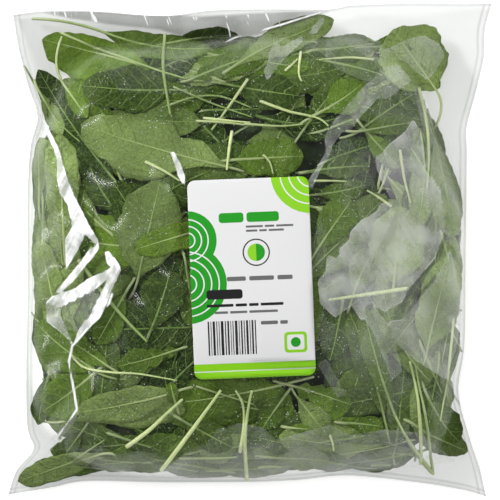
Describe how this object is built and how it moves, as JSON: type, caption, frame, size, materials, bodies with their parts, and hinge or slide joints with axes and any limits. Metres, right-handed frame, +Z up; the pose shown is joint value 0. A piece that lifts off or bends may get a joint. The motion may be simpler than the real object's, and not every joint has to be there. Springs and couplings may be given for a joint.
{
  "type": "bag of salad leaves",
  "caption": "Clear sealed film bag filled with green salad leaves, lying flat, with a rectangular paper label stuck to its front.",
  "frame": {"origin": "on the table under the middle of the bag's outline", "axes": "+Z up from the table, +X to the right of the label, +Y towards the label's top and the bag's empty upper margin"},
  "size_m": [0.264, 0.269, 0.061],
  "materials": {
    "film_and_leaves": "clear glossy film over green leaves",
    "label_paper": "smooth printed label"
  },
  "bodies": {
    "root": {"bag": "film_and_leaves", "label": "label_paper"}
  },
  "joints": []
}
